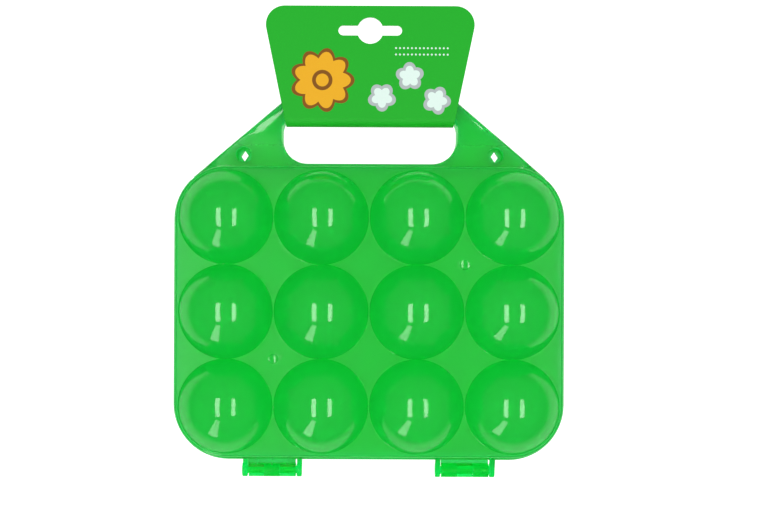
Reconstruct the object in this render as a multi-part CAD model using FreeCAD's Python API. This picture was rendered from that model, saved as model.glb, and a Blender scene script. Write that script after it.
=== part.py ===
import FreeCAD, Part
import math
import os
from FreeCAD import Vector

# A carrier for twelve eggs: two equal moulded halves that face each other, hinged along one long edge,
# with a grip at the opposite edge and a folded card round the grip of the upper half.
# Lengths are in millimetres. One half is made in its own frame: the faces of the two halves meet at z = 0,
# x runs along the hinge, y runs from the hinge to the grip and the cups bulge towards -z.

# Egg cups
cup_columns = 4
cup_rows = 3
cup_pitch_x = 47.4
cup_pitch_y = 46.9
cup_rim_radius = 23.2
cup_depth = 18.5

# Shell
wall = 1.2
deck_depth = 14.0
deck_margin = 2.1
deck_edge_radius = 1.6
skirt_draft = 1.0
flange_width = 1.8
flange_thickness = 1.6
parting_gap = 0.2
gate_dimple_radius = 2.7
gate_dimple_depth = 0.4

# Grip
handle_depth = 6.5
handle_wall = 1.4
handle_edge_radius = 4.0
hole_length = 88.0
hole_radius = 12.75
hole_top_radius = 9.0
bar_width = 10.0
tag_recess = 0.5

# Snap latch beside the grip
latch_gap_x = 20.0
latch_offset_y = 4.5
well_radius = 3.9
latch_floor = 1.4
stud_radius = 3.2
stud_clearance = 0.1
stud_tip = 0.4
diamond_width = 3.6
diamond_height = 5.3

# Snap hinge
hinge_x = 49.0
hinge_offset_y = 5.4
hinge_width = 30.0
ear_thickness = 2.4
ear_root_depth = 6.0
ear_gap = 0.6
pin_radius = 2.0
pin_clearance = 0.05
hook_wall = 1.5
hook_start_angle = 30.0
hook_end_angle = 185.0
web_thickness = 1.4
claw_rib_thickness = 1.0
claw_rib_height = 1.2

# Folded card
card_thickness = 0.5
card_clearance = 0.3
card_side_clearance = 0.9
card_drop = 7.0
card_height = 60.4
card_flare_angle = 11.7
card_corner_radius = 9.5
card_rear_rise = 1.5
card_lean = 10.0
slot_width = 32.0
slot_height = 4.9
slot_hole_radius = 6.6
slot_drop = 12.5

# Cutting tools reach this far past what they cut
overrun = 5.0

# Two levels count as one when they are closer than this
same_level = 1e-4

# Worked out from the sizes above
corner_x = cup_pitch_x * (cup_columns - 1) / 2
corner_y = cup_pitch_y * (cup_rows - 1) / 2
deck_radius = cup_rim_radius + deck_margin
skirt_radius = deck_radius + skirt_draft
corner_radius = skirt_radius + flange_width
half_width = corner_x + corner_radius
half_height = corner_y + corner_radius
half_depth = deck_depth + cup_depth
face_z = -parting_gap / 2
deck_inner_z = wall - deck_depth
cup_sphere_radius = (cup_rim_radius**2 + cup_depth**2) / (2 * cup_depth)
cup_centre_z = cup_sphere_radius - half_depth
cup_inner_radius = math.sqrt((cup_sphere_radius - wall) ** 2 - (cup_centre_z + deck_depth) ** 2)

hole_end_x = hole_length / 2 - hole_radius
hole_y = half_height + hole_radius
hole_top_x = hole_length / 2 - hole_top_radius
bar_low_y = hole_y + hole_radius
hole_top_y = bar_low_y - hole_top_radius
bar_top_y = bar_low_y + bar_width
bar_face_z = face_z - tag_recess
latch_x = hole_length / 2 + latch_gap_x
latch_y = half_height + latch_offset_y

hook_inner_radius = pin_radius + pin_clearance
hook_radius = hook_inner_radius + hook_wall
hinge_y = -half_height - hinge_offset_y
claw_width = hinge_width - 2 * (ear_thickness + ear_gap)

card_front_z = handle_depth + card_clearance + card_thickness
card_rear_z = -card_thickness / 2
card_low_y = bar_low_y - card_drop
card_top_y = card_low_y + card_height
fold_radius = (card_front_z - card_rear_z) / 2
fold_y = card_low_y + fold_radius
fold_z = card_rear_z + fold_radius
slot_y = card_top_y - slot_drop

lowest_y = hinge_y - hook_radius
frame_shift = Vector(0, -(card_top_y + lowest_y) / 2, half_depth)
up = Vector(0, 0, 1)


def polygon(points):
    return Part.makePolygon(points + points[:1])


def prism(wire, height):
    return Part.Face(wire).extrude(Vector(0, 0, height))


def block(low, high):
    size = high - low
    return Part.makeBox(size.x, size.y, size.z, low)


def edges_at(shape, z):
    found = []
    for edge in shape.Edges:
        levels = [vertex.Z for vertex in edge.Vertexes] + [edge.CenterOfMass.z]
        if all(abs(level - z) < same_level for level in levels):
            found.append(edge)
    return found


# Closed wire through the given arcs, with a straight line from each to the next
def joined_arcs(arcs):
    edges = []
    for arc, following in zip(arcs, arcs[1:] + arcs[:1]):
        edges.append(arc)
        edges.append(Part.makeLine(arc.Vertexes[-1].Point, following.Vertexes[0].Point))
    return Part.Wire(edges)


# Rounded rectangle whose corner arcs are centred on the corner cups
def rounded_plan(radius, z):
    signs = [(1, 1), (-1, 1), (-1, -1), (1, -1)]
    arcs = []
    for turn, (side_x, side_y) in enumerate(signs):
        centre = Vector(side_x * corner_x, side_y * corner_y, z)
        arcs.append(Part.makeCircle(radius, centre, up, 90 * turn, 90 * (turn + 1)))
    return joined_arcs(arcs)


# Solid under the drafted skirt, from the parting face down to the given level
def drafted_block(inset, low_z):
    share = (face_z - low_z) / (face_z + deck_depth)
    top = rounded_plan(skirt_radius - inset, face_z)
    bottom = rounded_plan(skirt_radius - skirt_draft * share - inset, low_z)
    return Part.makeLoft([top, bottom], True, True)


def tray_block():
    tray = drafted_block(0, -deck_depth)
    return tray.makeFillet(deck_edge_radius, edges_at(tray, -deck_depth))


# Everything that the flange and the tray take up, for what is moulded against them
def tray_envelope():
    flange = prism(rounded_plan(corner_radius, face_z), -flange_thickness)
    return tray_block().fuse(flange)


def cup_places():
    places = {}
    for row in range(cup_rows):
        for column in range(cup_columns):
            x = column * cup_pitch_x - corner_x
            y = corner_y - row * cup_pitch_y
            places[f"r{row + 1}_c{column + 1}"] = Vector(x, y, 0)
    return places


# Points among four cups, where the plastic enters the mould
def gate_places():
    return [Vector(cup_pitch_x, -cup_pitch_y / 2, 0), Vector(-cup_pitch_x, cup_pitch_y / 2, 0)]


def below_deck():
    low = Vector(-half_width, -half_height, -deck_depth - overrun)
    return block(low, Vector(half_width, half_height, deck_inner_z))


# Flat plate with a round opening over each cup and two shallow dimples on its outside
def deck():
    plate = tray_block().common(below_deck())
    for place in cup_places().values():
        base = place + Vector(0, 0, -deck_depth - overrun)
        plate = plate.cut(Part.makeCylinder(cup_inner_radius, deck_depth + overrun, base))
    for place in gate_places():
        base = place + Vector(0, 0, -deck_depth - overrun)
        plate = plate.cut(Part.makeCylinder(gate_dimple_radius, overrun + gate_dimple_depth, base))
    return plate


# Drafted side wall with the flange where the two halves meet
def skirt():
    ring = tray_block().cut(below_deck()).cut(drafted_block(wall, deck_inner_z))
    flange = prism(rounded_plan(corner_radius, face_z), -flange_thickness)
    flange = flange.cut(prism(rounded_plan(skirt_radius - wall / 2, face_z), -flange_thickness))
    return ring.fuse(flange).removeSplitter()


# One thin dome that stands on the outside of the deck
def cup(place):
    steep = math.asin(cup_rim_radius / cup_sphere_radius) / 2
    inner_sphere_radius = cup_sphere_radius - wall
    inner_steep = math.asin(cup_inner_radius / inner_sphere_radius) / 2
    outer_rim = Vector(cup_rim_radius, 0, -deck_depth)
    inner_rim = Vector(cup_inner_radius, 0, -deck_depth)
    outer_tip = Vector(0, 0, -half_depth)
    inner_tip = Vector(0, 0, wall - half_depth)
    middle = Vector(math.sin(steep), 0, -math.cos(steep)) * cup_sphere_radius
    inner_middle = Vector(math.sin(inner_steep), 0, -math.cos(inner_steep)) * inner_sphere_radius
    centre = Vector(0, 0, cup_centre_z)
    edges = [
        Part.Arc(outer_rim, centre + middle, outer_tip).toShape(),
        Part.makeLine(outer_tip, inner_tip),
        Part.Arc(inner_tip, centre + inner_middle, inner_rim).toShape(),
        Part.makeLine(inner_rim, outer_rim),
    ]
    dome = Part.Face(Part.Wire(edges)).revolve(Vector(0, 0, 0), up, 360)
    return dome.translated(place)


# Outline of the grip: straight sides that touch the corner arcs of the tray and the arcs round the hole
def handle_plan(inset, z):
    corner = Vector(corner_x, corner_y, z)
    shoulder = Vector(hole_end_x, hole_y, z)
    shoulder_radius = hole_radius + bar_width
    along = shoulder - corner
    turn = math.acos((corner_radius - shoulder_radius) / along.Length)
    angle = math.atan2(along.y, along.x) - turn
    halfway = (angle + math.pi / 2) / 2
    outward = Vector(math.cos(angle), math.sin(angle), 0)
    low = corner + outward * (corner_radius - inset)
    high = shoulder + outward * (shoulder_radius - inset)
    middle = shoulder + Vector(math.cos(halfway), math.sin(halfway), 0) * (shoulder_radius - inset)
    top = shoulder + Vector(0, shoulder_radius - inset, 0)

    def left(point):
        return Vector(-point.x, point.y, point.z)

    edges = [
        Part.makeLine(corner, low),
        Part.makeLine(low, high),
        Part.Arc(high, middle, top).toShape(),
        Part.makeLine(top, left(top)),
        Part.Arc(left(top), left(middle), left(high)).toShape(),
        Part.makeLine(left(high), left(low)),
        Part.makeLine(left(low), left(corner)),
        Part.makeLine(left(corner), corner),
    ]
    return Part.Wire(edges)


# Slot with round ends, in the plane z
def round_slot(end_x, y, z, radius):
    right = Vector(end_x, y, z)
    left = Vector(-end_x, y, z)
    reach = Vector(0, radius, 0)
    edges = [
        Part.makeLine(left - reach, right - reach),
        Part.Arc(right - reach, right + Vector(radius, 0, 0), right + reach).toShape(),
        Part.makeLine(right + reach, left + reach),
        Part.Arc(left + reach, left - Vector(radius, 0, 0), left - reach).toShape(),
    ]
    return Part.Wire(edges)


# Pad of the grip, inset from its outline and from the edge of its hole, with round outer edges
def handle_pad(inset, hole_inset, floor_z, edge_radius):
    pad = prism(handle_plan(inset, face_z), floor_z - face_z)
    pad = pad.cut(handle_hole(hole_inset, floor_z))
    rounded = []
    for edge in edges_at(pad, floor_z):
        middle = edge.valueAt((edge.FirstParameter + edge.LastParameter) / 2)
        if middle.y > half_height - hole_inset - same_level:
            rounded.append(edge)
    return pad.makeFillet(edge_radius, rounded)


# Hole for the fingers: wide round corners towards the tray and closer ones under the bar
def handle_hole(hole_inset, floor_z):
    low_radius = hole_radius + hole_inset
    top_radius = hole_top_radius + hole_inset
    corners = [
        (Vector(hole_end_x, hole_y, face_z), low_radius, 270),
        (Vector(hole_top_x, hole_top_y, face_z), top_radius, 0),
        (Vector(-hole_top_x, hole_top_y, face_z), top_radius, 90),
        (Vector(-hole_end_x, hole_y, face_z), low_radius, 180),
    ]
    arcs = [Part.makeCircle(radius, centre, up, start, start + 90) for centre, radius, start in corners]
    return prism(joined_arcs(arcs), floor_z - face_z)


def diamond(x, z):
    points = [
        Vector(x + diamond_width / 2, latch_y, z),
        Vector(x, latch_y + diamond_height / 2, z),
        Vector(x - diamond_width / 2, latch_y, z),
        Vector(x, latch_y - diamond_height / 2, z),
    ]
    return polygon(points)


# Hollow grip with round edges, open towards the other half, with a sunk well for the latch on each side
def handle():
    pad = handle_pad(0, 0, -handle_depth, handle_edge_radius)
    hollow = handle_pad(handle_wall, handle_wall, handle_wall - handle_depth, handle_edge_radius - handle_wall)
    keep = block(
        Vector(-half_width, half_height, -handle_depth - overrun),
        Vector(half_width, bar_top_y + overrun, overrun),
    )
    shell = pad.cut(hollow.common(keep))
    for side in (-1, 1):
        base = Vector(side * latch_x, latch_y, -handle_depth)
        boss = Part.makeCylinder(well_radius + handle_wall, handle_depth + face_z, base)
        shell = shell.fuse(boss.common(pad))
    for side in (-1, 1):
        base = Vector(side * latch_x, latch_y, -handle_depth - overrun)
        well_depth = overrun + handle_depth + face_z - latch_floor
        shell = shell.cut(Part.makeCylinder(well_radius, well_depth, base))
    shell = shell.cut(prism(diamond(-latch_x, -handle_depth), handle_depth))
    socket = Part.makeCylinder(
        stud_radius + stud_clearance, handle_depth, Vector(latch_x, latch_y, -handle_depth)
    )
    recess = block(
        Vector(-half_width, hole_y, bar_face_z), Vector(half_width, bar_top_y + overrun, overrun)
    )
    return shell.cut(socket).cut(recess).cut(tray_envelope())


# Hollow stud that snaps into the round socket of the other half
def latch_stud():
    height = parting_gap + latch_floor + stud_tip
    stud = Part.makeCylinder(stud_radius, height, Vector(-latch_x, latch_y, face_z))
    return stud.cut(prism(diamond(-latch_x, face_z), height))


# Section in the y-z plane pushed along x
def side_prism(wire, width):
    return Part.Face(wire).extrude(Vector(width, 0, 0))


# One of the two plates that carry the hinge pin, from the given x
def hinge_ear(x):
    root_y = overrun - half_height
    arm_points = [
        Vector(x, hinge_y, face_z),
        Vector(x, hinge_y, -hook_radius),
        Vector(x, root_y, -ear_root_depth),
        Vector(x, root_y, face_z),
    ]
    arm = side_prism(polygon(arm_points), ear_thickness)
    knuckle = Part.makeCylinder(hook_radius, ear_thickness, Vector(x, hinge_y, 0), Vector(1, 0, 0))
    return arm.fuse(knuckle).removeSplitter().cut(tray_envelope())


def hinge_pin():
    length = hinge_width - 2 * ear_thickness
    base = Vector(ear_thickness - hinge_x - hinge_width / 2, hinge_y, 0)
    return Part.makeCylinder(pin_radius, length, base, Vector(1, 0, 0))


# Open half ring over the pin: side +1 covers its upper side, -1 its lower side
def hook(start_x, width, side):
    centre = Vector(start_x, hinge_y, 0)

    def on_ring(radius, degrees):
        angle = math.radians(degrees)
        return centre + Vector(0, radius * math.cos(angle), side * radius * math.sin(angle))

    # the upper hooks start below the parting face, where the web is, and the lower ones at it
    first = -hook_start_angle if side > 0 else 0
    middle = (first + hook_end_angle) / 2
    edges = [
        Part.Arc(
            on_ring(hook_radius, first), on_ring(hook_radius, middle), on_ring(hook_radius, hook_end_angle)
        ).toShape(),
        Part.makeLine(on_ring(hook_radius, hook_end_angle), on_ring(hook_inner_radius, hook_end_angle)),
        Part.Arc(
            on_ring(hook_inner_radius, hook_end_angle),
            on_ring(hook_inner_radius, middle),
            on_ring(hook_inner_radius, first),
        ).toShape(),
        Part.makeLine(on_ring(hook_inner_radius, first), on_ring(hook_radius, first)),
    ]
    return side_prism(Part.Wire(edges), width)


# Three hooks that close round the other half's pin from alternate sides, on one ribbed web
def hinge_claws():
    start_x = hinge_x - claw_width / 2
    hook_width = claw_width / 3
    root_y = overrun - half_height
    web = block(
        Vector(start_x, hinge_y, face_z - web_thickness), Vector(start_x + claw_width, root_y, face_z)
    )
    for number in range(3):
        rib_x = start_x + (number + 1 / 2) * hook_width - claw_rib_thickness / 2
        rib = block(
            Vector(rib_x, hinge_y + hook_inner_radius, face_z - web_thickness - claw_rib_height),
            Vector(rib_x + claw_rib_thickness, root_y, face_z - web_thickness),
        )
        web = web.fuse(rib)
    bore = Part.makeCylinder(hook_inner_radius, claw_width, Vector(start_x, hinge_y, 0), Vector(1, 0, 0))
    claws = web.cut(bore).cut(tray_envelope())
    for number, side in enumerate((1, -1, 1)):
        claws = claws.fuse(hook(start_x + number * hook_width, hook_width, side))
    return claws.removeSplitter()


# Section of the folded card: under the bar, up both sides of it, and closed again above it
def card_section(x):
    rear_y = bar_top_y + card_rear_rise
    glue_y = rear_y + card_lean
    glue_z = card_front_z - 2 * card_thickness
    slope = (glue_z - card_rear_z) / card_lean
    lift = card_thickness * math.sqrt(1 + slope**2)
    inner_front_z = card_front_z - card_thickness
    inner_rear_z = card_rear_z + card_thickness
    inner_rear_y = rear_y + (inner_rear_z - lift - card_rear_z) / slope
    inner_glue_y = rear_y + (inner_front_z - lift - card_rear_z) / slope
    outer = [
        Part.makeLine(Vector(x, fold_y, card_front_z), Vector(x, card_top_y, card_front_z)),
        Part.makeLine(Vector(x, card_top_y, card_front_z), Vector(x, card_top_y, glue_z)),
        Part.makeLine(Vector(x, card_top_y, glue_z), Vector(x, glue_y, glue_z)),
        Part.makeLine(Vector(x, glue_y, glue_z), Vector(x, rear_y, card_rear_z)),
        Part.makeLine(Vector(x, rear_y, card_rear_z), Vector(x, fold_y, card_rear_z)),
        Part.Arc(
            Vector(x, fold_y, card_rear_z), Vector(x, card_low_y, fold_z), Vector(x, fold_y, card_front_z)
        ).toShape(),
    ]
    inner = [
        Part.makeLine(Vector(x, fold_y, inner_front_z), Vector(x, inner_glue_y, inner_front_z)),
        Part.makeLine(Vector(x, inner_glue_y, inner_front_z), Vector(x, inner_rear_y, inner_rear_z)),
        Part.makeLine(Vector(x, inner_rear_y, inner_rear_z), Vector(x, fold_y, inner_rear_z)),
        Part.Arc(
            Vector(x, fold_y, inner_rear_z),
            Vector(x, card_low_y + card_thickness, fold_z),
            Vector(x, fold_y, inner_front_z),
        ).toShape(),
    ]
    return Part.Wire(outer), Part.Wire(inner)


# Flat outline of the card, wider towards the top, as a tall prism
def card_outline():
    # the card enters the hole where its fold passes the rear face of the bar
    entry_y = fold_y - math.sqrt(fold_radius**2 - (fold_z + bar_face_z) ** 2)
    hole_reach = hole_top_x + math.sqrt(hole_top_radius**2 - (entry_y - hole_top_y) ** 2)
    flare = math.tan(math.radians(card_flare_angle))
    entry_x = hole_reach - card_side_clearance
    low_x = entry_x - flare * (entry_y - card_low_y)
    top_x = entry_x + flare * (card_top_y - entry_y)
    base_z = card_rear_z - overrun
    points = [
        Vector(low_x, card_low_y, base_z),
        Vector(top_x, card_top_y, base_z),
        Vector(-top_x, card_top_y, base_z),
        Vector(-low_x, card_low_y, base_z),
    ]
    outline = prism(polygon(points), card_front_z - card_rear_z + 2 * overrun)
    corners = []
    for edge in outline.Edges:
        upright = abs(edge.Vertexes[0].Z - edge.Vertexes[-1].Z) > overrun
        if upright and abs(edge.Vertexes[0].Y - card_top_y) < same_level:
            corners.append(edge)
    return outline.makeFillet(card_corner_radius, corners)


# Round hanging hole with a slot to each side
def hang_slot():
    base_z = card_rear_z - overrun
    height = card_front_z - card_rear_z + 2 * overrun
    slot_end_x = slot_width / 2 - slot_height / 2
    slot = prism(round_slot(slot_end_x, slot_y, base_z, slot_height / 2), height)
    return slot.fuse(Part.makeCylinder(slot_hole_radius, height, Vector(0, slot_y, base_z)))


def hang_card():
    reach = half_width
    outer, inner = card_section(-reach)
    loop = side_prism(outer, 2 * reach).cut(side_prism(inner, 2 * reach))
    return loop.common(card_outline()).cut(hang_slot())


def half_pieces():
    pieces = {
        "deck": deck(),
        "skirt": skirt(),
        "handle": handle(),
        "latch_stud": latch_stud(),
        "hinge_ear_outer": hinge_ear(-hinge_x - hinge_width / 2),
        "hinge_ear_inner": hinge_ear(hinge_width / 2 - ear_thickness - hinge_x),
        "hinge_pin": hinge_pin(),
        "hinge_claws": hinge_claws(),
    }
    for name, place in cup_places().items():
        pieces["cup_" + name] = cup(place)
    return pieces


def export(name, shape):
    shape.translated(frame_shift).exportStep(f"parts/{name}.step")


os.makedirs("parts", exist_ok=True)
for name, shape in half_pieces().items():
    export("base_" + name, shape)
    # the lid is the same moulding, turned over about the line from the hinge to the grip
    export("lid_" + name, shape.rotated(Vector(0, 0, 0), Vector(0, 1, 0), 180))
export("hang_card", hang_card())
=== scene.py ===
import bpy
import bmesh
import math
from mathutils import Matrix, Vector
from mathutils.geometry import delaunay_2d_cdt


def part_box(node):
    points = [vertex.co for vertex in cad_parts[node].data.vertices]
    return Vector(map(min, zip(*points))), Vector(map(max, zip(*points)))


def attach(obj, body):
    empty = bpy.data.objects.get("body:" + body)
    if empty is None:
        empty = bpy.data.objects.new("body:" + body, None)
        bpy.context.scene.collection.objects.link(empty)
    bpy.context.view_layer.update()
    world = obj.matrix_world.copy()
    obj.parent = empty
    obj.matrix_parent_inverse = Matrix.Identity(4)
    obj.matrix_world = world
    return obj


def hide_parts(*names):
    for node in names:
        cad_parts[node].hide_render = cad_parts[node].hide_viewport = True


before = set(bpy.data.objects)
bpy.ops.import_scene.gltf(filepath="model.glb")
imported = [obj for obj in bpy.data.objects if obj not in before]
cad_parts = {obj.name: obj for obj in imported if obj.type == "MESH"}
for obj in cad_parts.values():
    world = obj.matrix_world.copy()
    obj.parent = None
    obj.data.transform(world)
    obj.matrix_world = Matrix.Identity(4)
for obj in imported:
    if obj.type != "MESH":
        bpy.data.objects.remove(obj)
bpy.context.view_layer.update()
mm = 0.001
print("frame loaded:", len(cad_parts), "nodes")

# a half is drawn in millimetres: x along the hinge, y to the grip, parting face at z 0, cups to -z
tray = {
    "columns": 4, "rows": 3, "pitchX": 47.4, "pitchY": 46.9,
    "cupRadius": 23.797, "cupCentreZ": -8.703, "wall": 1.2,
    "deckZ": -14.0, "faceZ": -0.1,
    "rimRound": 0.8, "innerRimRound": 0.5,
    "deckCorner": 25.3, "skirtFoot": 26.3, "edgeRound": 1.5,
    "flange": 28.1, "flangeZ": -1.7,
    "raysPerOctant": 9, "cupRings": 18, "roundSteps": 5,
    "deckShares": (0.3, 0.65, 1.0), "edgeSteps": 6, "wallRows": (-11.0, -8.0, -5.0),
    "flangeFoot": 0.6, "flangeHollow": ((0.08, -0.3), (0.25, -0.08), (0.55, 0)),
    "flangeLip": ((-0.35, 0), (-0.1, 0.1), (0, 0.35)), "flangeEdge": ((0, -0.3), (-0.08, -0.08), (-0.3, 0)),
    "mouthRound": 0.3, "innerRows": (-3.0, -6.0, -9.0, -11.6),
    "innerCorner": ((0.12, 0.5), (0.4, 0.16), (0.9, 0)),
    "gripSlack": 0.01, "tuckShare": 0.02, "weld": 1e-4, "joinWeld": 1e-3, "smoothAngle": 32,
    "dimpleRadius": 2.7, "dimpleDepth": 0.4, "dimpleSteps": 8, "dimpleTip": 0.05, "dimpleOverrun": 2.0,
}
tray["cornerX"] = tray["pitchX"] * (tray["columns"] - 1) / 2
tray["cornerY"] = tray["pitchY"] * (tray["rows"] - 1) / 2

grip = {
    "holeX": 31.25, "holeY": 87.75, "holeRadius": 12.75, "barWidth": 10.0,
    "holeTopX": 35.0, "holeTopY": 91.5, "holeTopRadius": 9.0,
    "face": 0.115, "barFace": 0.6, "wall": 1.4, "root": 25.6,
    "land": 1.0, "round": 1.6, "roundDepth": 4.8, "crown": 0.7, "crownReach": 6.8,
    "crownFrom": 88.0, "crownLength": 4.5, "flare": 1.0, "flareFrom": 80.0, "flareLength": 24.0,
    "tailFrom": 77.0, "tailSlope": 0.25, "tailSoft": 0.3, "tailShare": 0.8, "holeRound": 0.8,
    "latchX": 63.5, "latchY": 79.1, "wellRadius": 3.8, "wellSlope": 0.3, "wellFloor": 1.4,
    "bossRadius": 5.3, "studRadius": 3.2, "studTop": 1.9, "socketRadius": 3.3,
    "diamond": (3.9, 5.8), "insets": (0.12, 0.3, 0.55, 0.85, 1.2, 1.6, 2.1, 2.7, 3.3, 4.0, 4.8, 6.0, 8.0),
    "spacing": 1.2, "gridSpacing": 2.4, "gridColumns": 60, "gridRows": 30, "gridGap": 0.6,
    "faceFade": 0.6, "studRound": 0.4, "diamondSteps": 3, "wellSteps": 6, "ringGap": 0.03, "latchGap": 0.8,
    "edgeGap": 0.1, "rootGap": 0.3, "latchShare": 0.05,
}


# outward direction of the sloping side of the grip, which touches the arcs of tray corner and shoulder
def slopeDirection():
    along = Vector((grip["holeX"] - tray["cornerX"], grip["holeY"] - tray["cornerY"]))
    turn = math.acos((tray["flange"] - grip["holeRadius"] - grip["barWidth"]) / along.length)
    angle = math.atan2(along.y, along.x) - turn
    return Vector((math.cos(angle), math.sin(angle)))


gripSide = slopeDirection()
skirtLow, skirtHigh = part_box("base_skirt")
originY = (skirtLow.y + skirtHigh.y) / 2
partingZ = skirtHigh.z - tray["faceZ"] * mm
placeBase = Matrix.Translation((0, originY, partingZ)) @ Matrix.Scale(mm, 4)
placeLid = Matrix.Translation((0, originY, partingZ)) @ Matrix.Rotation(math.pi, 4, "Y") @ Matrix.Scale(mm, 4)


def newObject(name, mesh):
    obj = bpy.data.objects.new(name, mesh)
    bpy.context.scene.collection.objects.link(obj)
    return obj


def closedMesh(name, bm):
    bmesh.ops.recalc_face_normals(bm, faces=bm.faces)
    mesh = bpy.data.meshes.new(name)
    bm.to_mesh(mesh)
    bm.free()
    return newObject(name, mesh)


# closed solid through a stack of rings with equal numbers of points
def loft(name, rings):
    bm = bmesh.new()
    rows = [[bm.verts.new(point) for point in ring] for ring in rings]
    for lower, upper in zip(rows, rows[1:]):
        for i in range(len(lower)):
            j = (i + 1) % len(lower)
            bm.faces.new((lower[i], lower[j], upper[j], upper[i]))
    bm.faces.new(rows[0])
    bm.faces.new(rows[-1])
    return closedMesh(name, bm)


def evaluated(obj):
    graph = bpy.context.evaluated_depsgraph_get()
    mesh = bpy.data.meshes.new_from_object(obj.evaluated_get(graph))
    obj.modifiers.clear()
    obj.data = mesh
    return obj


# operation is UNION, DIFFERENCE or INTERSECT, and the tool is used up
def combine(obj, tool, operation):
    modifier = obj.modifiers.new("combine", "BOOLEAN")
    modifier.operation = operation
    modifier.solver = "EXACT"
    modifier.object = tool
    evaluated(obj)
    bpy.data.objects.remove(tool)
    return obj


def smooth(mesh, angle):
    mesh.polygons.foreach_set("use_smooth", [True] * len(mesh.polygons))
    mesh.set_sharp_from_angle(angle=math.radians(angle))


def circle(x, y, z, radius, count=48):
    turns = [2 * math.pi * i / count for i in range(count)]
    return [(x + radius * math.cos(a), y + radius * math.sin(a), z) for a in turns]


def arc(x, y, radius, start, end, steps):
    points = []
    for i in range(steps + 1):
        angle = math.radians(start + (end - start) * i / steps)
        points.append((x + radius * math.cos(angle), y + radius * math.sin(angle)))
    return points


def cupProfile(radius, roundRadius, deckZ):
    centreZ = tray["cupCentreZ"]
    reach = radius + roundRadius
    roundZ = deckZ - roundRadius
    roundX = math.sqrt(reach**2 - (roundZ - centreZ) ** 2)
    startX = roundX * radius / reach
    steep = math.asin(startX / radius)
    points = []
    for i in range(1, tray["cupRings"] + 1):
        angle = steep * i / tray["cupRings"]
        points.append((radius * math.sin(angle), centreZ - radius * math.cos(angle)))
    return {"tipZ": centreZ - radius, "dome": points, "startX": startX, "endX": roundX,
            "roundZ": roundZ, "round": roundRadius, "deckZ": deckZ}


def roundHeight(profile, x):
    if x >= profile["endX"]:
        return profile["deckZ"]
    rise = max(profile["round"] ** 2 - (profile["endX"] - x) ** 2, 0)
    return profile["roundZ"] + math.sqrt(rise)


# edge of one cup's patch of the deck, anticlockwise from +x
def patchEdge(column, row, edgeRadius):
    half = (tray["pitchX"] / 2, tray["pitchY"] / 2)
    count = tray["raysPerOctant"]
    outer = {"+x": column == tray["columns"] - 1, "-x": column == 0,
             "+y": row == 0, "-y": row == tray["rows"] - 1}
    points = []
    for quadrant, (sideX, sideY) in enumerate([(1, 1), (-1, 1), (-1, -1), (1, -1)]):
        outerX = outer["+x" if sideX > 0 else "-x"]
        outerY = outer["+y" if sideY > 0 else "-y"]
        reachX = edgeRadius if outerX else half[0]
        reachY = edgeRadius if outerY else half[1]
        for k in range(2 * count):
            if outerX and outerY:
                angle = math.radians(90 * (quadrant + k / (2 * count)))
                points.append((edgeRadius * math.cos(angle), edgeRadius * math.sin(angle)))
                continue
            rise = math.tan(math.radians(45 * min(k, 2 * count - k) / count))
            firstSide = k <= count
            alongX = firstSide == (quadrant % 2 == 0)
            if alongX:
                points.append((sideX * reachX, sideY * reachY * rise))
            else:
                points.append((sideX * reachX * rise, sideY * reachY))
    return points


def deckSurface(bm, profile, edgeRadius):
    for column in range(tray["columns"]):
        for row in range(tray["rows"]):
            centreX = column * tray["pitchX"] - tray["cornerX"]
            centreY = tray["cornerY"] - row * tray["pitchY"]
            rings = []
            edge = patchEdge(column, row, edgeRadius)
            reaches = [math.hypot(x, y) for x, y in edge]
            ways = [(x / r, y / r) for (x, y), r in zip(edge, reaches)]
            ends = [min(profile["endX"], r) for r in reaches]
            for x, z in profile["dome"]:
                rings.append([(x, z)] * len(edge))
            for step in range(1, tray["roundSteps"] + 1):
                share = 1 - math.cos(math.pi / 2 * step / tray["roundSteps"])
                radii = [profile["startX"] + (end - profile["startX"]) * share for end in ends]
                rings.append([(r, roundHeight(profile, r)) for r in radii])
            for share in tray["deckShares"]:
                radii = [end + (r - end) * share for end, r in zip(ends, reaches)]
                rings.append([(r, roundHeight(profile, r)) for r in radii])
            tip = bm.verts.new((centreX, centreY, profile["tipZ"]))
            before = None
            for ring in rings:
                verts = [bm.verts.new((centreX + wx * r, centreY + wy * r, z))
                         for (wx, wy), (r, z) in zip(ways, ring)]
                for i in range(len(verts)):
                    j = (i + 1) % len(verts)
                    if before:
                        bm.faces.new((before[i], before[j], verts[j], verts[i]))
                    else:
                        bm.faces.new((tip, verts[j], verts[i]))
                before = verts


# from the edge of the deck over the skirt and flange to the edge of the deck's inside
def skirtProfile():
    t = tray
    slope = math.atan2(t["skirtFoot"] - t["deckCorner"], t["faceZ"] - t["deckZ"])
    r = t["edgeRound"]
    edgeX = t["deckCorner"] - r * (1 - math.sin(slope)) / math.cos(slope)
    points = []
    for i in range(1, t["edgeSteps"] + 1):
        angle = (math.pi / 2 - slope) * i / t["edgeSteps"]
        points.append((edgeX + r * math.sin(angle), t["deckZ"] + r - r * math.cos(angle)))

    def wallX(z):
        return t["deckCorner"] + math.tan(slope) * (z - t["deckZ"])

    top, outer, wall = t["flangeZ"], t["flange"], t["wall"]
    points += [(wallX(z), z) for z in t["wallRows"] + (top - t["flangeFoot"],)]
    points += [(wallX(top) + x, top + z) for x, z in t["flangeHollow"]]
    points += [(outer + x, top + z) for x, z in t["flangeLip"]]
    points += [(outer + x, t["faceZ"] + z) for x, z in t["flangeEdge"]]
    points.append((wallX(0) - wall + t["mouthRound"], t["faceZ"]))
    mouth = t["faceZ"] - t["mouthRound"]
    points += [(wallX(z) - wall, z) for z in (mouth,) + t["innerRows"]]
    low = t["deckZ"] + wall
    points += [(wallX(low + rise) - wall - inset, low + rise) for inset, rise in t["innerCorner"]]
    return edgeX, points


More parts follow.
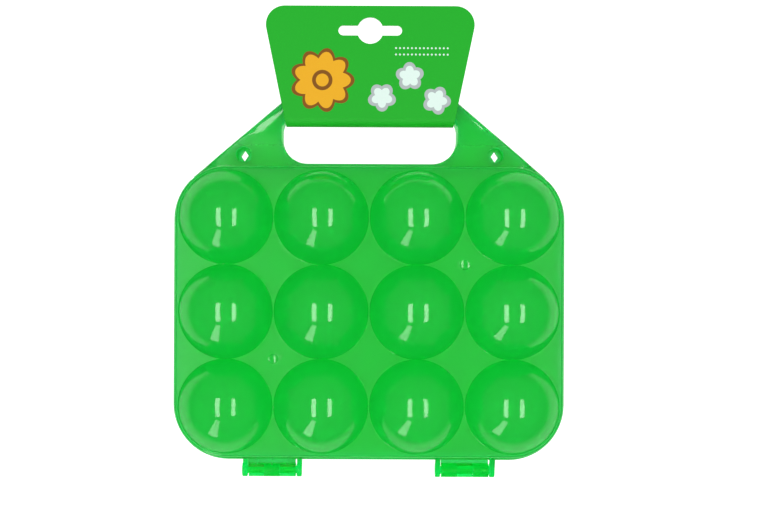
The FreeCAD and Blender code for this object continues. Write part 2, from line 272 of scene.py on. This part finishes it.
def trayMesh():
    bm = bmesh.new()
    edgeX, points = skirtProfile()
    outside = cupProfile(tray["cupRadius"], tray["rimRound"], tray["deckZ"])
    deckSurface(bm, outside, edgeX)
    bmesh.ops.remove_doubles(bm, verts=bm.verts, dist=tray["weld"])
    edges = [e for e in bm.edges if e.is_boundary]
    rim = list(dict.fromkeys(v for e in edges for v in e.verts))
    core = {}
    for v in rim:
        x = max(-tray["cornerX"], min(tray["cornerX"], v.co.x))
        y = max(-tray["cornerY"], min(tray["cornerY"], v.co.y))
        core[v] = (Vector((x, y, 0)), Vector((v.co.x - x, v.co.y - y, 0)).normalized())
    current = {v: v for v in rim}
    for radius, z in points:
        ring = {}
        for v in rim:
            middle, out = core[v]
            reach = radius
            # the grip takes the place of the flange on its side
            if out.y > gripSide.y - tray["gripSlack"] and radius > tray["skirtFoot"]:
                reach = tray["skirtFoot"] + (radius - tray["skirtFoot"]) * tray["tuckShare"]
            ring[v] = bm.verts.new(middle + out * reach + Vector((0, 0, z)))
        for e in edges:
            a, b = e.verts
            bm.faces.new((current[a], current[b], ring[b], ring[a]))
        current = ring
    wall = tray["wall"]
    inside = cupProfile(tray["cupRadius"] - wall, tray["innerRimRound"], tray["deckZ"] + wall)
    deckSurface(bm, inside, points[-1][0])
    bmesh.ops.remove_doubles(bm, verts=bm.verts, dist=tray["joinWeld"])
    print("tray: open edges", sum(1 for e in bm.edges if len(e.link_faces) != 2), "points", len(bm.verts))
    return closedMesh("tray", bm)


# shallow round dimples in the outside of the deck
def dimples(obj):
    t = tray
    for side in (-1, 1):
        x, y = side * t["pitchX"], -side * t["pitchY"] / 2
        rings = [circle(x, y, t["deckZ"] - t["dimpleOverrun"], t["dimpleRadius"])]
        for step in range(t["dimpleSteps"], -1, -1):
            share = max(step, t["dimpleTip"]) / t["dimpleSteps"]
            depth = t["dimpleDepth"] * (1 - share**2)
            rings.append(circle(x, y, t["deckZ"] + depth, t["dimpleRadius"] * share))
        combine(obj, loft("dimple", rings), "DIFFERENCE")


def arcPoints(x, y, radius, start, end):
    steps = max(int(abs(end - start) / 180 * math.pi * radius / grip["spacing"]), 2)
    return arc(x, y, radius, start, end, steps)


def linePoints(first, last):
    first, last = Vector(first), Vector(last)
    steps = max(int((last - first).length / grip["spacing"]), 1)
    return [tuple(first.lerp(last, i / steps)) for i in range(steps + 1)]


def withMirror(right):
    return right + [(-x, y) for x, y in reversed(right)]


# right side of the outline, from the corner of the tray round the shoulder to the top
def outlineSide(inset):
    corner = Vector((tray["cornerX"], tray["cornerY"]))
    shoulder = Vector((grip["holeX"], grip["holeY"]))
    reach = grip["holeRadius"] + grip["barWidth"] - inset
    degrees = math.degrees(math.atan2(gripSide.y, gripSide.x))
    points = linePoints(corner + gripSide * (tray["flange"] - inset), shoulder + gripSide * reach)
    points += arcPoints(shoulder.x, shoulder.y, reach, degrees, 90)[1:]
    return points + linePoints(points[-1], (0, shoulder.y + reach))[1:-1]


def gripOutline():
    degrees = math.degrees(math.atan2(gripSide.y, gripSide.x))
    root = arcPoints(tray["cornerX"], tray["cornerY"], grip["root"], 90, degrees)
    rootRight = linePoints((0, tray["cornerY"] + grip["root"]), root[0])[1:] + root[1:]
    return withMirror(outlineSide(0)) + [(-x, y) for x, y in reversed(rootRight)] + rootRight


def holeOutline(inset):
    low, top = grip["holeRadius"] + inset, grip["holeTopRadius"] + inset
    right = linePoints((0, grip["holeY"] - low), (grip["holeX"], grip["holeY"] - low))[1:]
    right += arcPoints(grip["holeX"], grip["holeY"], low, -90, 0)[1:]
    right += arcPoints(grip["holeTopX"], grip["holeTopY"], top, 0, 90)
    right += linePoints(right[-1], (0, grip["holeTopY"] + top))[1:-1]
    return withMirror(right)


def diamondOutline():
    wide, tall = grip["diamond"]
    corners = [(wide / 2, 0), (0, tall / 2), (-wide / 2, 0), (0, -tall / 2)]
    points = []
    for first, last in zip(corners, corners[1:] + corners[:1]):
        steps = grip["diamondSteps"]
        points += [tuple(Vector(first).lerp(Vector(last), i / steps)) for i in range(steps)]
    return [(x - grip["latchX"], y + grip["latchY"]) for x, y in points]


# how far a point lies inside the outline
def outlineInset(x, y):
    place = Vector((abs(x), y))
    shoulder = Vector((grip["holeX"], grip["holeY"]))
    reach = grip["holeRadius"] + grip["barWidth"]
    away = place - shoulder
    if away.x > 0 and away.cross(gripSide) < 0:
        return reach - away.length
    corner = Vector((tray["cornerX"], tray["cornerY"]))
    return min(tray["flange"] - (place - corner).dot(gripSide), reach - away.y)


# how far a point lies outside the hole
def holeInset(x, y):
    if y < grip["holeY"]:
        return math.hypot(max(abs(x) - grip["holeX"], 0), y - grip["holeY"]) - grip["holeRadius"]
    over = (max(abs(x) - grip["holeTopX"], 0), max(y - grip["holeTopY"], 0))
    return math.hypot(*over) - grip["holeTopRadius"]


def edgeInset(x, y):
    return min(outlineInset(x, y), holeInset(x, y))


def rootInset(x, y):
    over = (max(abs(x) - tray["cornerX"], 0), max(y - tray["cornerY"], 0))
    return math.hypot(*over) - grip["root"]


# below zero in the diamond of the stud and in the round socket
def latchInset(x, y):
    away = (abs(abs(x) - grip["latchX"]), abs(y - grip["latchY"]))
    if x > 0:
        return math.hypot(*away) / grip["socketRadius"] - 1
    wide, tall = grip["diamond"]
    return away[0] / (wide / 2) + away[1] / (tall / 2) - 1


def ramp(value):
    value = min(max(value, 0), 1)
    return value * value * (3 - 2 * value)


def rounded(inset, radius):
    return math.sqrt(1 - (1 - min(inset / radius, 1)) ** 2)


# soft and crowned along the outline, with a small round along the hole
def padDepth(x, y, inset):
    g = grip
    outer, hole = outlineInset(x, y) - inset, holeInset(x, y) - inset
    if min(outer, hole) <= 0:
        return 0
    wide = rounded(outer, g["round"])
    crowned = ramp((y - g["crownFrom"]) / g["crownLength"])
    bulge = 1 - min(outer / g["crownReach"], 1)
    low = g["flare"] * (1 - ramp((y - g["flareFrom"]) / g["flareLength"]))
    rise = (g["roundDepth"] - low) * wide + g["crown"] * (wide + (1 - bulge**2 - wide) * crowned)
    tail = math.hypot(max(abs(x) - g["tailFrom"], 0), g["tailSoft"]) - g["tailSoft"]
    rise -= min(g["tailSlope"] * tail, rise * g["tailShare"]) * wide
    return g["land"] + min(rise, (g["roundDepth"] + g["crown"]) * rounded(hole, g["holeRound"]))


def gripOutside(x, y):
    g = grip
    latch = math.hypot(abs(x) - g["latchX"], y - g["latchY"])
    depth = max(padDepth(x, y, 0), g["land"])
    floor = g["face"] + g["wellFloor"]
    share = ramp((latch - g["wellRadius"]) / g["wellSlope"])
    return -(floor + (depth - floor) * share)


def gripInside(x, y):
    g = grip
    face = g["face"] + (g["barFace"] - g["face"]) * ramp((y - g["holeY"]) / g["faceFade"])
    latch = math.hypot(abs(x) - g["latchX"], y - g["latchY"])
    if x < 0 and latch < g["studRadius"]:
        return g["studTop"] - g["studRound"] * ramp((latch - g["studRadius"]) / g["studRound"] + 1)
    if latch < g["bossRadius"]:
        return -face
    return -max(padDepth(x, y, g["wall"]) - g["wall"], face)


def gripMesh():
    g = grip
    socket = [(x, y) for x, y, z in circle(g["latchX"], g["latchY"], 0, g["socketRadius"])]
    loops = [gripOutline(), holeOutline(0), diamondOutline(), socket]
    points, borders = [], []
    for loop in loops:
        first = len(points)
        points += loop
        borders += [(first + i, first + (i + 1) % len(loop)) for i in range(len(loop))]
    inner = []
    for inset in g["insets"]:
        inner += withMirror(outlineSide(inset)) + holeOutline(inset)
    radii = [g["wellRadius"] + g["wellSlope"] * step / g["wellSteps"] for step in range(g["wellSteps"] + 1)]
    for edge in (g["studRadius"], g["bossRadius"]):
        radii += [edge - g["ringGap"], edge + g["ringGap"]]
    for side in (-1, 1):
        for radius in radii:
            inner += [(x, y) for x, y, z in circle(side * g["latchX"], g["latchY"], 0, radius)]
    deepest = max(g["insets"])
    for i in range(-g["gridColumns"], g["gridColumns"] + 1):
        for j in range(g["gridRows"]):
            x, y = i * g["gridSpacing"], tray["cornerY"] + j * g["gridSpacing"]
            latch = math.hypot(abs(x) - g["latchX"], y - g["latchY"]) - g["bossRadius"]
            if latch > g["latchGap"] and edgeInset(x, y) > deepest + g["gridGap"]:
                inner.append((x, y))
    for x, y in inner:
        clear = edgeInset(x, y) > g["edgeGap"] and rootInset(x, y) > g["rootGap"]
        if clear and latchInset(x, y) > g["latchShare"]:
            points.append((x, y))
    plan = delaunay_2d_cdt([Vector(p) for p in points], borders, [], 1, tray["weld"])
    bm = bmesh.new()
    outside = [bm.verts.new((v.x, v.y, gripOutside(v.x, v.y))) for v in plan[0]]
    inside = [bm.verts.new((v.x, v.y, gripInside(v.x, v.y))) for v in plan[0]]
    used = {}
    for corners in plan[2]:
        x = sum(plan[0][c].x for c in corners) / len(corners)
        y = sum(plan[0][c].y for c in corners) / len(corners)
        if min(edgeInset(x, y), rootInset(x, y), latchInset(x, y)) < 0:
            continue
        bm.faces.new([outside[c] for c in corners])
        bm.faces.new([inside[c] for c in reversed(corners)])
        for a, b in zip(corners, corners[1:] + corners[:1]):
            key = (min(a, b), max(a, b))
            used[key] = None if key in used else (a, b)
    for pair in used.values():
        if pair:
            a, b = pair
            bm.faces.new((outside[a], outside[b], inside[b], inside[a]))
    loose = [v for v in bm.verts if not v.link_faces]
    bmesh.ops.delete(bm, geom=loose, context="VERTS")
    print("grip: open edges", sum(1 for e in bm.edges if len(e.link_faces) != 2), "points", len(bm.verts))
    return closedMesh("grip", bm)


hinge = {
    "x": 49.0, "y": -80.4, "width": 30.0, "earThickness": 2.4, "earGap": 0.6, "earRootZ": -6.0,
    "pinRadius": 2.0, "hookInner": 2.05, "hookOuter": 3.55, "rootY": -72.4, "faceZ": -0.1,
    "web": 1.4, "webFrom": 1.2, "ribThickness": 1.0, "ribHeight": 1.2, "ribFrom": 0.6, "ribSink": 0.4,
    "ribOverlap": 0.01, "boreOverrun": 2.0, "soften": 0.22, "softenAngle": 40, "softenSteps": 2,
    "hookSides": (1, -1, 1), "hookFrom": (-30, 0), "hookTo": 185, "hookSteps": 20,
    "earFrom": -1.6, "earTo": 270, "earSteps": 30, "pinSteps": 24,
}
hinge["hookWidth"] = hinge["width"] - 2 * (hinge["earThickness"] + hinge["earGap"])
hinge["hookStart"] = hinge["x"] - hinge["hookWidth"] / 2
hinge["hookPitch"] = hinge["hookWidth"] / len(hinge["hookSides"])


def boxSolid(name, low, high):
    (x0, y0, z0), (x1, y1, z1) = low, high
    ring = [(x0, y0), (x1, y0), (x1, y1), (x0, y1)]
    return loft(name, [[(x, y, z0) for x, y in ring], [(x, y, z1) for x, y in ring]])


def sideSolid(name, points, start, end):
    return loft(name, [[(x, y, z) for y, z in points] for x in (start, end)])


def softenEdges(obj):
    modifier = obj.modifiers.new("soften", "BEVEL")
    modifier.width = hinge["soften"]
    modifier.segments = hinge["softenSteps"]
    modifier.limit_method = "ANGLE"
    modifier.angle_limit = math.radians(hinge["softenAngle"])
    return evaluated(obj)


def pinRing(radius):
    return [(y, z) for y, z, x in circle(hinge["y"], 0, 0, radius, hinge["pinSteps"])]


# the hooks take turns over and under the pin
def hookMesh():
    h = hinge
    hooks = None
    for number, side in enumerate(h["hookSides"]):
        first = h["hookFrom"][0 if side > 0 else 1]
        ring = arc(h["y"], 0, h["hookOuter"], first, h["hookTo"], h["hookSteps"])
        ring += arc(h["y"], 0, h["hookInner"], h["hookTo"], first, h["hookSteps"])
        points = [(y, side * z) for y, z in ring]
        start = h["hookStart"] + number * h["hookPitch"]
        hook = softenEdges(sideSolid("hook", points, start, start + h["hookPitch"]))
        hooks = combine(hooks, hook, "UNION") if hooks else hook
    return hooks


def earsMesh():
    h = hinge
    ears = None
    profile = [(h["rootY"], h["earRootZ"]), (h["rootY"], h["faceZ"])]
    profile += arc(h["y"], 0, h["hookOuter"], h["earFrom"], h["earTo"], h["earSteps"])
    left = -h["x"] - h["width"] / 2
    right = -h["x"] + h["width"] / 2
    for start in (left, right - h["earThickness"]):
        ear = softenEdges(sideSolid("ear", profile, start, start + h["earThickness"]))
        ears = combine(ears, ear, "UNION") if ears else ear
    sink = h["earThickness"] / 2
    return combine(ears, sideSolid("pin", pinRing(h["pinRadius"]), left + sink, right - sink), "UNION")


# web and ribs between the tray and the hooks
def webMesh():
    h = hinge
    start, end = h["hookStart"], h["hookStart"] + h["hookWidth"]
    webLow = h["faceZ"] - h["web"]
    web = boxSolid("web", (start, h["y"] + h["webFrom"], webLow), (end, h["rootY"], h["faceZ"]))
    for number in range(len(h["hookSides"])):
        ribX = start + (number + 0.5) * h["hookPitch"] - h["ribThickness"] / 2
        low = (ribX, h["y"] + h["hookInner"] + h["ribFrom"], webLow - h["ribHeight"])
        high = (ribX + h["ribThickness"], h["rootY"] + h["ribOverlap"], webLow + h["ribSink"])
        combine(web, boxSolid("rib", low, high), "UNION")
    bore = sideSolid("bore", pinRing(h["hookInner"]), start - h["boreOverrun"], end + h["boreOverrun"])
    return combine(web, bore, "DIFFERENCE")


class Wire:
    def __init__(self, tree, socket=None):
        self.tree = tree
        self.socket = socket

    # any node: its settings first, then values or links for its sockets
    def make(self, kind, settings=None, inputs=None, output=0):
        node = self.tree.nodes.new(kind)
        for key, value in (settings or {}).items():
            setattr(node, key, value)
        for key, value in (inputs or {}).items():
            if isinstance(value, Wire):
                self.tree.links.new(value.socket, node.inputs[key])
            else:
                node.inputs[key].default_value = value
        return Wire(self.tree, node.outputs[output] if node.outputs else None)

    def maths(self, operation, *values):
        return self.make("ShaderNodeMath", {"operation": operation}, dict(enumerate(values)))

    def part(self, axis):
        return self.make("ShaderNodeSeparateXYZ", inputs={0: self}, output=axis)

    def size(self):
        return self.maths("ABSOLUTE", self)

    def clamped(self):
        return self.make("ShaderNodeClamp", inputs={0: self})

    def __add__(self, other):
        return self.maths("ADD", self, other)

    def __radd__(self, other):
        return self.maths("ADD", other, self)

    def __sub__(self, other):
        return self.maths("SUBTRACT", self, other)

    def __rsub__(self, other):
        return self.maths("SUBTRACT", other, self)

    def __mul__(self, other):
        return self.maths("MULTIPLY", self, other)

    def __rmul__(self, other):
        return self.maths("MULTIPLY", other, self)

    def __truediv__(self, other):
        return self.maths("DIVIDE", self, other)


def newMaterial(name):
    material = bpy.data.materials.new(name)
    material.use_nodes = True
    tree = material.node_tree
    tree.nodes.clear()
    return material, Wire(tree)


def finishMaterial(start, shader):
    start.make("ShaderNodeOutputMaterial", inputs={"Surface": shader})


# flank heights are metres from the parting face, and the foot of the grip is metres from the tray's middle
plastic = {
    "thin": {"tint": (0.055, 0.83, 0.21, 1), "deepTint": (0.04, 0.81, 0.18, 1),
             "glow": (0.20, 0.89, 0.42, 1), "haze": 0.66, "gloss": True},
    "thick": {"tint": (0.02, 0.90, 0.16, 1), "deepTint": (0.015, 0.88, 0.14, 1),
              "glow": (0.09, 0.90, 0.34, 1), "haze": 0.9, "gloss": False},
    "hazeSwing": 0.10, "flowScale": 22.0, "flowDetail": 3.0, "grainScale": 700.0, "grainDetail": 2.0,
    "bumpStrength": 0.02, "bumpDistance": 0.0004, "ior": 1.49, "coatRoughness": 0.04, "coatIor": 1.6,
    "roughness": 0.08, "roughnessSwing": 0.05, "thickRoughness": 0.2, "mattCoat": 0.1,
    "deckRoughness": 0.3, "deckBand": 0.00015, "footFrom": 0.0730, "footTo": 0.0925, "footFade": 0.0130,
    "flankRoughness": 0.16, "flankFrom": 0.0149, "flankTo": 0.0265, "flankEdge": 0.0060,
}


# clear tinted plastic with a milky share that lets light through softly
def plasticMaterial(name, colours):
    p = plastic
    material, start = newMaterial(name)
    place = start.make("ShaderNodeTexCoord", output="Object")
    flow = start.make("ShaderNodeTexNoise",
                      inputs={"Vector": place, "Scale": p["flowScale"], "Detail": p["flowDetail"]})
    grain = start.make("ShaderNodeTexNoise",
                       inputs={"Vector": place, "Scale": p["grainScale"], "Detail": p["grainDetail"]})
    colour = start.make("ShaderNodeMix", {"data_type": "RGBA"},
                        {0: flow, 6: colours["deepTint"], 7: colours["tint"]}, output=2)
    rough = p["roughness"] + (flow + grain - 1) * p["roughnessSwing"]
    if colours["gloss"]:
        # more matt on the deck, the foot of the grip and the flanks of the cups
        height = (place.part(2) - partingZ).size()
        along = place.part(1) - originY
        flank = ((height - p["flankFrom"]) / mm).clamped()
        flank = flank * ((p["flankTo"] - height) / p["flankEdge"]).clamped()
        foot = ((along - p["footFrom"]) / mm).clamped()
        foot = foot * ((p["footTo"] - along) / p["footFade"]).clamped()
        deck = 1 - ((height + tray["deckZ"] * mm).size() / p["deckBand"]).clamped()
        deck = (deck + foot).clamped()
        rough = rough + deck * p["deckRoughness"] + flank * p["flankRoughness"]
        coat = 1 - (flank + deck).clamped() * (1 - p["mattCoat"])
    else:
        rough = rough + p["thickRoughness"]
        coat = p["mattCoat"]
    bump = start.make("ShaderNodeBump", inputs={
        "Height": grain, "Strength": p["bumpStrength"], "Distance": p["bumpDistance"]})
    clear = start.make("ShaderNodeBsdfPrincipled", inputs={
        "Base Color": colour, "Roughness": rough, "Normal": bump,
        "Transmission Weight": 1.0, "IOR": p["ior"],
        "Coat Weight": coat, "Coat Roughness": p["coatRoughness"], "Coat IOR": p["coatIor"]})
    milky = start.make("ShaderNodeBsdfTranslucent", inputs={"Color": colours["glow"]})
    share = colours["haze"] + (flow - 0.5) * p["hazeSwing"]
    finishMaterial(start, start.make("ShaderNodeMixShader", inputs={0: share, 1: clear, 2: milky}))
    return material


# places and sizes in millimetres in the part's frame
card = {
    "green": (0.0100, 0.375, 0.0165, 1), "paper": (0.80, 0.81, 0.78, 1),
    "ochre": (0.73, 0.37, 0.012, 1), "brown": (0.20, 0.072, 0.004, 1),
    "grey": (0.39, 0.44, 0.44, 1), "pale": (0.66, 0.80, 0.74, 1),
    "flower": (-24.0, 81.5), "flowerRadius": 11.0, "petals": 9, "petalSwing": 3.4, "outline": 1.9,
    "eye": 5.2, "blossoms": ((6.0, 73.0, 0.3), (20.0, 83.5, 0.9), (33.5, 71.5, 0.1)), "blossomRadius": 3.6,
    "blossomSwing": 1.8, "blossomPetals": 5, "dotsY": (94.5, 97.7), "dotPitch": 4.0, "dotRadius": 0.55,
    "dotsFrom": 12.0, "dotsTo": 40.0, "rowEdge": 0.1, "printEdge": 0.15,
    "foldY": 62.0, "foldEdge": 0.3, "middleZ": 36.0, "middleEdge": 0.5, "insideTo": 76.5,
    "turnEdge": 0.2, "sideTurn": 0.6, "flatTurn": 0.4,
    "roughness": 0.5, "roughnessSwing": 0.15, "specular": 0.15,
    "fibreScale": 900.0, "fibreDetail": 4.0, "bumpStrength": 0.05, "bumpDistance": 0.0003,
}


def cardMaterial():
    c = card
    material, start = newMaterial("printedCard")
    place = start.make("ShaderNodeTexCoord", output="Object")
    normal = start.make("ShaderNodeTexCoord", output="Normal")
    fibre = start.make("ShaderNodeTexNoise",
                       inputs={"Vector": place, "Scale": c["fibreScale"], "Detail": c["fibreDetail"]})
    x, y, z = [place.part(axis) / mm for axis in range(3)]
    rising, facing = normal.part(1), normal.part(2)

    def paint(under, colour, mask):
        return start.make("ShaderNodeMix", {"data_type": "RGBA"}, {0: mask, 6: under, 7: colour}, output=2)

    # one inside a wavy round shape, zero outside it
    def wavy(centreX, centreY, radius, petals, swing, turn):
        away, up = x - centreX, y - centreY
        reach = start.maths("SQRT", away * away + up * up)
        wave = start.maths("COSINE", (start.maths("ARCTAN2", up, away) + turn) * (petals / 2)).size()
        return ((wave * swing + radius - reach) / c["printEdge"]).clamped()

    # a shape with an outline round it
    def motif(under, colours, place, radius, petals, swing, turn):
        for colour, grown in zip(colours, (c["outline"], 0)):
            under = paint(under, colour, wavy(*place, radius + grown, petals, swing, turn))
        return under

    flower = (c["brown"], c["ochre"])
    colour = motif(c["green"], flower, c["flower"], c["flowerRadius"], c["petals"], c["petalSwing"], 0)
    colour = motif(colour, flower, c["flower"], c["eye"] - c["outline"], 1, 0, 0)
    for blossomX, blossomY, turn in c["blossoms"]:
        colour = motif(colour, (c["grey"], c["pale"]), (blossomX, blossomY),
                       c["blossomRadius"], c["blossomPetals"], c["blossomSwing"], turn)
    inRow = ((x - c["dotsFrom"]) / c["rowEdge"]).clamped() * ((c["dotsTo"] - x) / c["rowEdge"]).clamped()
    column = start.maths("PINGPONG", x - c["dotsFrom"], c["dotPitch"] / 2) - c["dotPitch"] / 4
    for dotsY in c["dotsY"]:
        up = y - dotsY
        reach = start.maths("SQRT", column * column + up * up)
        colour = paint(colour, c["pale"], ((c["dotRadius"] - reach) / c["printEdge"]).clamped() * inRow)

    # bare paper on the cut edges and on the inside of the fold
    def past(value, edge):
        return (value / edge).clamped()

    front = past(z - c["middleZ"], c["middleEdge"])
    bare = past(c["sideTurn"] - facing.size(), c["turnEdge"]) * past(y - c["foldY"], c["foldEdge"])
    under = past(-c["flatTurn"] - facing, c["turnEdge"]) * front
    bare = bare + under * past(c["insideTo"] - y, c["foldEdge"])
    bare = bare + past(facing - c["flatTurn"], c["turnEdge"]) * (1 - front)
    bare = bare + past(rising, c["turnEdge"]) * past(c["foldY"] - y, c["foldEdge"])
    colour = paint(colour, c["paper"], bare.clamped())
    bump = start.make("ShaderNodeBump", inputs={
        "Height": fibre, "Strength": c["bumpStrength"], "Distance": c["bumpDistance"]})
    finishMaterial(start, start.make("ShaderNodeBsdfPrincipled", inputs={
        "Base Color": colour, "Roughness": c["roughness"] + (fibre - 0.5) * c["roughnessSwing"],
        "Normal": bump, "Specular IOR Level": c["specular"]}))
    return material


def setPiece(name, source, place, body, material, nodes):
    mesh = source.data.copy()
    mesh.name = name
    mesh.transform(place)
    smooth(mesh, tray["smoothAngle"])
    mesh.materials.clear()
    mesh.materials.append(material)
    obj = newObject(name, mesh)
    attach(obj, body)
    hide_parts(*[f"{body}_{node}" for node in nodes])


greenPlastic = plasticMaterial("greenPlastic", plastic["thin"])
densePlastic = plasticMaterial("densePlastic", plastic["thick"])
shellNodes = ["deck", "skirt", "handle", "latch_stud"]
for row in range(tray["rows"]):
    shellNodes += [f"cup_r{row + 1}_c{column + 1}" for column in range(tray["columns"])]
hingeNodes = ["hinge_ear_outer", "hinge_ear_inner", "hinge_pin", "hinge_claws"]


# deck, cups, skirt, grip and the webs of the hinge are one skin
def mouldingMesh():
    moulding = trayMesh()
    dimples(moulding)
    for part in (gripMesh(), webMesh()):
        combine(moulding, part, "UNION")
        print("moulding: points", len(moulding.data.vertices))
    return moulding


moulding = mouldingMesh()
hingeParts = combine(earsMesh(), hookMesh(), "UNION")
for half, place in (("base", placeBase), ("lid", placeLid)):
    setPiece(f"{half}_moulding", moulding, place, half, greenPlastic, shellNodes)
    setPiece(f"{half}_hinge", hingeParts, place, half, densePlastic, hingeNodes)
bpy.data.objects.remove(moulding)
bpy.data.objects.remove(hingeParts)
print("halves set")

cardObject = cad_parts["hang_card"]
cardObject.data.materials.clear()
cardObject.data.materials.append(cardMaterial())

stage = {"floor": 6.0, "floorColour": (0.12, 0.12, 0.12, 1), "floorRoughness": 0.9, "floorGlow": 1.15,
         "glowFrom": 0.29, "glowTo": 0.55, "farGlow": 0.45, "horizon": 0.25, "zenith": 0.5,
         "stripX": (-0.439, 0.609), "stripY": -0.065, "stripZ": 1.5, "stripSize": (0.30, 1.20),
         "stripPower": 10.5,
         "panelPlace": (-0.43, -0.90, 0.785), "panelSize": (0.28, 1.19), "panelPower": 5.2}


# the floor glows like a light table: a pool of emitted light, brightest round the object and falling to
# farGlow further out
def floorPiece():
    half = stage["floor"] / 2
    mesh = bpy.data.meshes.new("floor")
    corners = [(-half, -half, 0), (half, -half, 0), (half, half, 0), (-half, half, 0)]
    mesh.from_pydata(corners, [], [(0, 1, 2, 3)])
    floor = newObject("floor", mesh)
    material, start = newMaterial("glowingFloor")
    place = start.make("ShaderNodeTexCoord", output="Object")
    reach = start.make("ShaderNodeVectorMath", {"operation": "LENGTH"}, {0: place}, output="Value")
    far = ((reach - stage["glowFrom"]) / (stage["glowTo"] - stage["glowFrom"])).clamped()
    shader = start.make("ShaderNodeBsdfPrincipled", inputs={
        "Base Color": stage["floorColour"], "Roughness": stage["floorRoughness"],
        "Emission Color": 1 - far * (1 - stage["farGlow"]), "Emission Strength": stage["floorGlow"]})
    finishMaterial(start, shader)
    mesh.materials.append(material)


def areaLight(name, place, target, size, power):
    data = bpy.data.lights.new(name, "AREA")
    data.shape = "RECTANGLE"
    data.size, data.size_y = size
    data.energy = power
    light = bpy.data.objects.new(name, data)
    bpy.context.scene.collection.objects.link(light)
    light.location = place
    light.rotation_mode = "QUATERNION"
    light.rotation_quaternion = (Vector(target) - Vector(place)).to_track_quat("-Z", "Y")
    light.visible_camera = False


def lights():
    world = bpy.data.worlds.new("studio")
    world.use_nodes = True
    world.node_tree.nodes.clear()
    start = Wire(world.node_tree)
    way = start.make("ShaderNodeTexCoord", output="Generated")
    glow = stage["horizon"] + way.part(2).clamped() * (stage["zenith"] - stage["horizon"])
    sky = start.make("ShaderNodeBackground", inputs={"Color": glow})
    start.make("ShaderNodeOutputWorld", inputs={"Surface": sky})
    bpy.context.scene.world = world
    centre = Vector((0, originY, partingZ))
    for x in stage["stripX"]:
        place = centre + Vector((x, stage["stripY"], stage["stripZ"]))
        areaLight("strip", place, place - Vector((0, 0, 1)), stage["stripSize"], stage["stripPower"])
    place = centre + Vector(stage["panelPlace"])
    areaLight("panel", place, (centre.x, centre.y, place.z), stage["panelSize"], stage["panelPower"])


camera = {"height": 0.494, "lens": 45.4, "shiftX": 0.0195, "shiftY": 0.0729, "roll": 0.25}


def cameraSet():
    data = bpy.data.cameras.new("camera")
    data.lens = camera["lens"]
    data.shift_x = camera["shiftX"]
    data.shift_y = camera["shiftY"]
    obj = bpy.data.objects.new("camera", data)
    bpy.context.scene.collection.objects.link(obj)
    obj.location = (0, originY, partingZ + camera["height"])
    obj.rotation_euler = (0, 0, math.radians(camera["roll"]))
    bpy.context.scene.camera = obj


floorPiece()
lights()
cameraSet()
bpy.context.scene.view_settings.view_transform = "Standard"
print("stage set")
